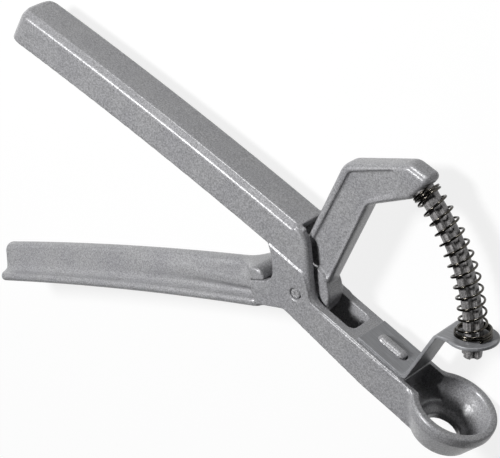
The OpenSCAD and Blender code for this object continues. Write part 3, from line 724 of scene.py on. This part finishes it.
def bent_strip(name):
    """The ejector's strip: a rectangle of sheet carried along the middle line of plate, leaning leg
    and ring arm, with an arc at each bend and its width given along that line. Near the ring its
    edge runs on a hollow arc into the ring's circle."""
    half, fillet = SHEET / 2, 1.3
    tilt = math.radians(5.6)
    lean, slope = math.tan(tilt), math.tan(math.radians(RING_ANGLE))

    def leg_x(y):
        return 38.7 - half / math.cos(tilt) + (y - BAR_TOP) * lean

    plate_y = BAR_TOP + half
    arm_y = slope * leg_x(0) / (1 - slope * lean)
    corners = np.array(
        [(21.6, plate_y), (leg_x(plate_y), plate_y), (arm_y / slope, arm_y), polar(49.2, RING_ANGLE)]
    )
    bends = [
        rounded([(*before, 0), (*here, fillet), (*after, 0)], 6)[1:-1]
        for before, here, after in zip(corners, corners[1:], corners[2:])
    ]
    line = np.concatenate([corners[:1], *bends, corners[-1:]])
    step = np.linalg.norm(np.diff(line, axis=0), axis=1)
    run = np.concatenate([[0], np.cumsum(step)])
    u = np.linspace(0, run[-1], 120)
    line = np.stack([np.interp(u, run, line[:, 0]), np.interp(u, run, line[:, 1])], 1)
    ahead = np.gradient(line, axis=0)
    ahead /= np.linalg.norm(ahead, axis=1, keepdims=True)
    up = np.stack([-ahead[:, 1], ahead[:, 0]], 1)

    # a hollow corner of radius 5 leads the arm's edge, 5.4 mm out, into the ring's circle of 7 mm
    arm_half, hollow_r, first, last = 5.4, 5, 5.99, 3.49
    wide = np.interp(line[:, 1], [BAR_TOP + 3, 19.6], [6.1, arm_half])
    gap = PUNCH_R - np.hypot(line[:, 0], line[:, 1])
    off = np.clip(gap, last, first) - first
    hollow = arm_half + hollow_r - np.sqrt(np.maximum(hollow_r**2 - off**2, 0))
    wide = np.where((gap < first) & (line[:, 1] > 18), hollow, wide)
    corner = np.array([(-1, -1), (-1, 1), (1, 1), (1, -1)])
    xy = line[:, None] + half * corner[None, :, :1] * up[:, None]
    z = wide[:, None] * corner[None, :, 1]
    return skin(name, np.concatenate([xy, z[..., None]], -1))


def ring_disc(name):
    """The ejector's ring: a flat washer square to the punch, with its edges just broken."""
    half, inner, outer, edge = SHEET / 2, 3.1, 7.0, 0.12
    r = np.array([inner, inner, inner + edge, outer - edge, outer, outer, outer - edge, inner + edge])
    h = np.array([-half + edge, half - edge, half, half, half - edge, -half + edge, -half, -half])
    a = np.linspace(0, 2 * math.pi, 96, endpoint=False)[:, None]
    angle = math.radians(RING_ANGLE)
    u, v = r * np.cos(a), r * np.sin(a)
    x = (PUNCH_R + u) * math.cos(angle) - h * math.sin(angle)
    y = (PUNCH_R + u) * math.sin(angle) + h * math.cos(angle)
    return skin(name, np.stack([x, y, v + 0 * x], -1), loop=True)


def ejector(name):
    """The pressed ejector: strip and ring in one sheet, with a slot over the frame's lug."""
    sheet = bent_strip(name)
    join(sheet, [ring_disc("ring")], "UNION")
    slot = slab("lug_slot", oblong(9.7, 2.9) + (29.75, 0), 0, 4, SHARP, "xzy")
    join(sheet, [slot], "DIFFERENCE")
    return melt(sheet, 0.16, 2)


def lug_head(name):
    """The staked head of the lug: an oblong whose height rises from its edge as a dome."""
    outline = oblong(9.4, 3.4, 16) + (29.3, 0)
    u = np.linspace(0, 1, 14)
    depth = 1.5 * (1 - np.cos(u * math.pi / 2))
    height = BAR_TOP + SHEET + 0.02 + 1.0 * np.sin(u * math.pi / 2)
    flat = outline[None] - depth[:, None, None] * outward(outline)[None]
    tall = np.broadcast_to(height[:, None, None], (*flat.shape[:2], 1))
    points = np.concatenate([flat, tall], 2)[..., [0, 2, 1]]
    return skin(name, points)


def pivot_pin(name, sizes):
    """A turned pin with a small chamfer and a slightly hollow end."""
    half, r, edge = 7.05, sizes.pin_d / 2 / MM, 0.25
    end = [(AXIS, half - 0.12), (0.7, half - 0.06), (r - edge, half), (r, half - edge)]
    return turned(name, end + [(x, -y) for x, y in reversed(end)], (0, 0, 0), "z", 48)


# ------------------------------------------------------------------ finishes


def add_node(tree, kind, links=None, **settings):
    """Adds a node, sets its properties and its sockets' values, and links sockets to others. A
    socket is named, or numbered where names repeat."""
    node = tree.nodes.new(kind)
    for key, value in settings.items():
        if key in node.inputs:
            node.inputs[key].default_value = value
        else:
            setattr(node, key, value)
    for key, socket in (links or {}).items():
        tree.links.new(socket, node.inputs[key])
    return node


def new_material(name, **sockets):
    """A material with one Principled shader, whose plain values are set on its own sockets."""
    made = bpy.data.materials.new(name)
    made.use_nodes = True
    shader = made.node_tree.nodes["Principled BSDF"]
    for key, value in sockets.items():
        shader.inputs[key.replace("_", " ")].default_value = value
    return made, made.node_tree, shader


def two_tones(tree, source, low, high, dark, light):
    """A ramp from a dark to a light colour as the source goes from low to high."""
    ramp = add_node(tree, "ShaderNodeValToRGB", {"Fac": source})
    for stop, position, tone in zip(ramp.color_ramp.elements, (low, high), (dark, light)):
        stop.position, stop.color = position, tone
    return ramp.outputs["Color"]


def shade(colour, factor):
    """A linear colour made darker or lighter by a factor."""
    return (*[min(1.0, c * factor) for c in tuple(colour)[:3]], 1.0)


def cast_lacquer(colour):
    """Clear-coated silver lacquer over a die casting. The eye gets a fine sparkle of pale and dark
    flakes, a slight orange peel that breaks the gleam on every edge into dots, and soft clouds."""
    made, tree, shader = new_material(
        "silver_lacquered_casting", Metallic=0.12, Roughness=0.4, Coat_Weight=0.45, Coat_Roughness=0.24
    )
    at = add_node(tree, "ShaderNodeTexCoord").outputs["Object"]
    # lacquer flakes are 0.05 mm, too fine for the render, so they are drawn 0.4 mm wide
    flake = add_node(
        tree, "ShaderNodeTexNoise", {"Vector": at}, Scale=per_mm(0.4), Detail=2.0, Roughness=0.8
    )
    # the clouds are as wide as the places where the lacquer ran thick, about 9 mm
    cloud = add_node(tree, "ShaderNodeTexNoise", {"Vector": at}, Scale=per_mm(9), Detail=2.0)
    sparkle = two_tones(tree, flake.outputs["Fac"], 0.36, 0.64, shade(colour, 0.68), shade(colour, 1.36))
    clouds = two_tones(tree, cloud.outputs["Fac"], 0.3, 0.7, linear("#F4F4F6"), linear("#FFFFFF"))
    tint = add_node(
        tree, "ShaderNodeMix", {6: sparkle, 7: clouds}, data_type="RGBA", blend_type="MULTIPLY", Factor=1.0
    )
    tree.links.new(tint.outputs[2], shader.inputs["Base Color"])
    # the orange peel's cells are 0.7 mm wide and a few hundredths deep
    peel = add_node(tree, "ShaderNodeTexNoise", {"Vector": at}, Scale=per_mm(0.7), Detail=2.0)
    bump = add_node(
        tree, "ShaderNodeBump", {"Height": peel.outputs["Fac"]}, Strength=1.0, Distance=0.08 * MM
    )
    tree.links.new(bump.outputs["Normal"], shader.inputs["Normal"])
    tree.links.new(bump.outputs["Normal"], shader.inputs["Coat Normal"])
    return made


def sheet_steel(colour):
    """Pressed stainless sheet, satin from its rolls: a fine grain runs along the strip and dulls
    what it reflects."""
    made, tree, shader = new_material("pressed_stainless_sheet", Metallic=0.15, Roughness=0.42)
    at = add_node(tree, "ShaderNodeTexCoord").outputs["Object"]
    grain = add_node(tree, "ShaderNodeMapping", {"Vector": at}, Scale=(per_mm(6), per_mm(6), per_mm(0.3)))
    noise = add_node(tree, "ShaderNodeTexNoise", {"Vector": grain.outputs["Vector"]}, Scale=1.0, Detail=3.0)
    tone = two_tones(tree, noise.outputs["Fac"], 0.3, 0.7, shade(colour, 0.78), shade(colour, 1.25))
    tree.links.new(tone, shader.inputs["Base Color"])
    bump = add_node(
        tree, "ShaderNodeBump", {"Height": noise.outputs["Fac"]}, Strength=0.2, Distance=0.02 * MM
    )
    tree.links.new(bump.outputs["Normal"], shader.inputs["Normal"])
    return made


def punch_steel(name, colour, metallic):
    """Drawn stainless section: bright ribs with dark draw streaks that run along it. The streaks
    follow the distance from the pivot pin and the depth, which stay the same along the arc."""
    made, tree, shader = new_material(name, Metallic=metallic, Roughness=0.3)
    at = add_node(tree, "ShaderNodeTexCoord").outputs["Object"]
    pin = add_node(tree, "ShaderNodeMapping", {"Vector": at}, Location=tuple(-PIVOT * MM))
    apart = add_node(tree, "ShaderNodeSeparateXYZ", {"Vector": pin.outputs["Vector"]})
    flat = add_node(tree, "ShaderNodeCombineXYZ", {"X": apart.outputs["X"], "Y": apart.outputs["Y"]})
    out = add_node(tree, "ShaderNodeVectorMath", {0: flat.outputs[0]}, operation="LENGTH")
    along = add_node(tree, "ShaderNodeMath", {0: apart.outputs["Y"]}, operation="MULTIPLY")
    along.inputs[1].default_value = 0.06
    drawn = add_node(
        tree, "ShaderNodeCombineXYZ", {"X": out.outputs["Value"], "Y": along.outputs[0], "Z": apart.outputs["Z"]}
    )
    streak = add_node(
        tree, "ShaderNodeTexNoise", {"Vector": drawn.outputs[0]}, Scale=per_mm(0.5), Detail=3.0
    )
    grit = add_node(tree, "ShaderNodeTexNoise", {"Vector": at}, Scale=per_mm(0.35), Detail=2.0)
    both = add_node(
        tree, "ShaderNodeMath", {0: streak.outputs["Fac"], 1: grit.outputs["Fac"]}, operation="MULTIPLY"
    )
    tone = two_tones(tree, both.outputs[0], 0.14, 0.38, shade(colour, 0.35), shade(colour, 1.5))
    tree.links.new(tone, shader.inputs["Base Color"])
    bump = add_node(tree, "ShaderNodeBump", {"Height": both.outputs[0]}, Strength=0.3, Distance=0.03 * MM)
    tree.links.new(bump.outputs["Normal"], shader.inputs["Normal"])
    return made


def spring_wire(colour):
    """Dark drawn spring wire with a thin film of oil: near black, with sharp highlights."""
    made, tree, shader = new_material("drawn_spring_wire", Metallic=1.0, Roughness=0.2)
    at = add_node(tree, "ShaderNodeTexCoord").outputs["Object"]
    noise = add_node(tree, "ShaderNodeTexNoise", {"Vector": at}, Scale=per_mm(2.5), Detail=2.0)
    tone = two_tones(tree, noise.outputs["Fac"], 0.3, 0.7, shade(colour, 0.5), shade(colour, 1.6))
    tree.links.new(tone, shader.inputs["Base Color"])
    return made


def paper_floor(colour):
    """White paper that is lit by the lamps and keeps the shadow, and is mostly plain white to the
    eye and in reflections."""
    made, tree, shader = new_material("white_paper_floor", Roughness=0.9)
    path = add_node(tree, "ShaderNodeLightPath").outputs
    either = {0: path["Is Camera Ray"], 1: path["Is Glossy Ray"]}
    seen = add_node(tree, "ShaderNodeMath", either, operation="MAXIMUM")
    either = {0: seen.outputs[0], 1: path["Is Transmission Ray"]}
    seen = add_node(tree, "ShaderNodeMath", either, operation="MAXIMUM")
    # what the floor throws back on the tool comes from a darker paper, so that hollows stay dark
    paper = add_node(tree, "ShaderNodeMix", {0: seen.outputs[0]}, data_type="RGBA")
    paper.inputs[6].default_value, paper.inputs[7].default_value = shade(colour, 0.1), colour
    tree.links.new(paper.outputs[2], shader.inputs["Base Color"])
    part = add_node(tree, "ShaderNodeMath", {0: seen.outputs[0]}, operation="MULTIPLY")
    part.inputs[1].default_value = 0.85
    glow = add_node(tree, "ShaderNodeEmission", Strength=1.0)
    mix = add_node(
        tree, "ShaderNodeMixShader", {0: part.outputs[0], 1: shader.outputs[0], 2: glow.outputs[0]}
    )
    tree.links.new(mix.outputs[0], tree.nodes["Material Output"].inputs["Surface"])
    return made


# ------------------------------------------------------------------ settings


def length(name, mm, description):
    """A size that a user may change, given in mm and kept in metres."""
    return bpy.props.FloatProperty(
        name=name, default=mm * MM, description=description, unit="LENGTH", min=0, precision=5
    )


def colour(name, code, description):
    """A colour that a user may change, given as sRGB hex."""
    return bpy.props.FloatVectorProperty(
        name=name, default=linear(code)[:3], description=description, subtype="COLOR", min=0, max=1
    )


class PitterSizes(bpy.types.PropertyGroup):
    """Sizes of the pieces that leave their seats where they are"""

    bevel_wide: length("Bevel Width", 1.8, "Width of the bevel along the fixed handle's top edges")
    bevel_drop: length("Bevel Drop", 1.4, "Height of the bevel along the fixed handle's top edges")
    arm_edge: length("Arm Edge", 2.2, "Depth of the rounded edge of the punch arm")
    cast_cell: length("Casting Cell", 0.26, "Size of the cells in which the castings' skin is made")
    cast_soft: bpy.props.IntProperty(
        name="Casting Softness", default=4, min=0, max=20, description="Rounds of smoothing on the castings"
    )
    punch_d: length("Punch Diameter", 5.5, "Diameter over the punch's ribs")
    punch_groove: length("Groove Depth", 0.85, "Depth of the punch's four grooves")
    wire: length("Wire Diameter", 0.65, "Diameter of the spring's wire")
    coil_r: length("Coil Radius", 3.65, "Radius of the open coils to the middle of the wire")
    foot_r: length("Foot Radius", 4.85, "Radius of the close coils that stand on the ejector's ring")
    pin_d: length("Pin Diameter", 3.0, "Diameter of the pivot pin")


class PitterFinishes(bpy.types.PropertyGroup):
    """Colours and lamps"""

    lacquer: colour("Lacquer", "#A6A6A8", "Silver lacquer on both castings")
    sheet: colour("Sheet Steel", "#98999C", "Pressed stainless sheet of the ejector")
    punch: colour("Punch Steel", "#A09E9E", "Drawn steel of the punch")
    pin: colour("Pin Steel", "#B0B0B2", "Turned steel of the pin's ends")
    wire: colour("Spring Wire", "#45423D", "Dark wire of the return spring")
    floor: colour("Floor", "#FFFFFF", "Paper under the tool")
    key: bpy.props.FloatProperty(
        name="Key Lamp", default=7.0, min=0, description="Power of the main lamp", unit="POWER"
    )
    sky: bpy.props.FloatProperty(name="Sky", default=0.02, min=0, max=1, description="Strength of the even light")


# ------------------------------------------------------------------ operators


def place(made, node, material):
    """Hides the packed part that a piece stands for and gives the piece its finish."""
    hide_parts(node)
    made.data.materials.clear()
    made.data.materials.append(material)


def lacquer(context):
    """The castings' one material, made when the first of them needs it."""
    made = bpy.data.materials.get("silver_lacquered_casting")
    return made or cast_lacquer(context.scene.pitter_finishes.lacquer)


class PITTER_OT_frame(bpy.types.Operator):
    """Makes the fixed handle with its cheeks, bar and cup, and the staked head of its lug"""

    bl_idname = "pitter.frame"
    bl_label = "Frame Casting"

    def execute(self, context):
        for made in (frame_casting("frame_skin", context.scene.pitter_sizes), lug_head("lug_head")):
            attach(made, "frame")
            place(made, "frame_casting", lacquer(context))
        return {"FINISHED"}


class PITTER_OT_lever(bpy.types.Operator):
    """Makes the swinging handle with its hub and punch arm"""

    bl_idname = "pitter.lever"
    bl_label = "Lever Casting"

    def execute(self, context):
        made = lever_casting("lever_skin", context.scene.pitter_sizes)
        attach(made, "lever")
        place(made, "lever_casting", lacquer(context))
        return {"FINISHED"}


class PITTER_OT_punch(bpy.types.Operator):
    """Makes the ribbed punch that drives the pit out"""

    bl_idname = "pitter.punch"
    bl_label = "Punch"

    def execute(self, context):
        made = punch("ribbed_punch", context.scene.pitter_sizes)
        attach(made, "lever")
        steel = punch_steel("drawn_stainless_section", context.scene.pitter_finishes.punch, 0.25)
        place(made, "punch", steel)
        return {"FINISHED"}


class PITTER_OT_spring(bpy.types.Operator):
    """Winds the return spring round the punch"""

    bl_idname = "pitter.spring"
    bl_label = "Return Spring"

    def execute(self, context):
        made = return_spring("wound_spring", context.scene.pitter_sizes)
        place(made, "return_spring", spring_wire(context.scene.pitter_finishes.wire))
        return {"FINISHED"}


class PITTER_OT_ejector(bpy.types.Operator):
    """Makes the pressed ejector that strips the fruit off the punch"""

    bl_idname = "pitter.ejector"
    bl_label = "Ejector"

    def execute(self, context):
        made = ejector("ejector_sheet")
        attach(made, "frame")
        place(made, "ejector_plate", sheet_steel(context.scene.pitter_finishes.sheet))
        return {"FINISHED"}


class PITTER_OT_pin(bpy.types.Operator):
    """Makes the pin that the lever turns on"""

    bl_idname = "pitter.pin"
    bl_label = "Pivot Pin"

    def execute(self, context):
        made = pivot_pin("turned_pin", context.scene.pitter_sizes)
        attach(made, "frame")
        steel = punch_steel("turned_pin_steel", context.scene.pitter_finishes.pin, 0.15)
        place(made, "pivot_pin", steel)
        return {"FINISHED"}


def softbox(name, direction, distance, size, power):
    """A square lamp that stands this way from the tool's middle and faces it."""
    light = bpy.data.lights.new(name, "AREA")
    light.size = size
    light.energy = power
    made = bpy.data.objects.new(name, light)
    bpy.context.scene.collection.objects.link(made)
    away = Vector(direction).normalized()
    made.location = Vector(TOOL_MIDDLE) + away * distance
    made.rotation_euler = away.to_track_quat("Z", "Y").to_euler()
    return made


class PITTER_OT_stage(bpy.types.Operator):
    """Makes the floor, the lights and the camera"""

    bl_idname = "pitter.stage"
    bl_label = "Stage"

    def execute(self, context):
        scene = context.scene
        look = scene.pitter_finishes
        scene.view_settings.view_transform = "Standard"
        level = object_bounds()[0][2] - 0.2 * MM
        mesh = bpy.data.meshes.new("floor")
        far = FLOOR_HALF
        corners = [(-far, -far, level), (far, -far, level), (far, far, level), (-far, far, level)]
        mesh.from_pydata(corners, [], [(0, 1, 2, 3)])
        floor = bpy.data.objects.new("floor", mesh)
        scene.collection.objects.link(floor)
        mesh.materials.append(paper_floor((*look.floor, 1.0)))
        floor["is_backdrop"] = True

        world = bpy.data.worlds.new("studio")
        world.use_nodes = True
        sky = world.node_tree.nodes["Background"].inputs
        sky["Color"].default_value = (1, 1, 1, 1)
        sky["Strength"].default_value = look.sky
        scene.world = world
        softbox("key", (-0.43, 0.29, 0.86), 0.8, 0.16, look.key)
        # a strip of light behind the tool that only gleams on its top edges
        crest = softbox("crest", (-0.32, 0.93, 0.14), 0.8, 0.14, look.key * 0.5)
        crest.visible_diffuse = False

        camera = bpy.data.cameras.new("camera")
        camera.sensor_width = 36
        camera.lens = FOCAL / PICTURE_WIDTH * camera.sensor_width
        holder = bpy.data.objects.new("camera", camera)
        scene.collection.objects.link(holder)
        turn = Matrix(CAMERA_AXES).transposed().to_4x4()
        holder.matrix_world = Matrix.Translation(CAMERA_AT) @ turn
        scene.camera = holder
        return {"FINISHED"}


MAKERS = (
    PITTER_OT_frame,
    PITTER_OT_lever,
    PITTER_OT_punch,
    PITTER_OT_spring,
    PITTER_OT_ejector,
    PITTER_OT_pin,
    PITTER_OT_stage,
)


class PITTER_PT_panel(bpy.types.Panel):
    """Lists the makers with their sizes and colours"""

    bl_label = "Olive Pitter"
    bl_idname = "PITTER_PT_panel"
    bl_space_type = "VIEW_3D"
    bl_region_type = "UI"
    bl_category = "Pitter"

    def draw(self, context):
        for maker in MAKERS:
            self.layout.operator(maker.bl_idname)
        for group in (context.scene.pitter_sizes, context.scene.pitter_finishes):
            box = self.layout.box()
            for key in type(group).__annotations__:
                box.prop(group, key)


CLASSES = (PitterSizes, PitterFinishes, *MAKERS, PITTER_PT_panel)


def register():
    """Registers the classes and puts their settings on the scene."""
    for cls in CLASSES:
        bpy.utils.register_class(cls)
    bpy.types.Scene.pitter_sizes = bpy.props.PointerProperty(type=PitterSizes)
    bpy.types.Scene.pitter_finishes = bpy.props.PointerProperty(type=PitterFinishes)


def unregister():
    """Takes the settings off the scene and the classes out, in reverse."""
    del bpy.types.Scene.pitter_finishes
    del bpy.types.Scene.pitter_sizes
    for cls in reversed(CLASSES):
        bpy.utils.unregister_class(cls)


def main():
    """Registers the add-on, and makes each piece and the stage."""
    register()
    bpy.ops.pitter.frame()
    bpy.ops.pitter.lever()
    bpy.ops.pitter.punch()
    bpy.ops.pitter.spring()
    bpy.ops.pitter.ejector()
    bpy.ops.pitter.pin()
    bpy.ops.pitter.stage()


if __name__ == "__main__":
    main()
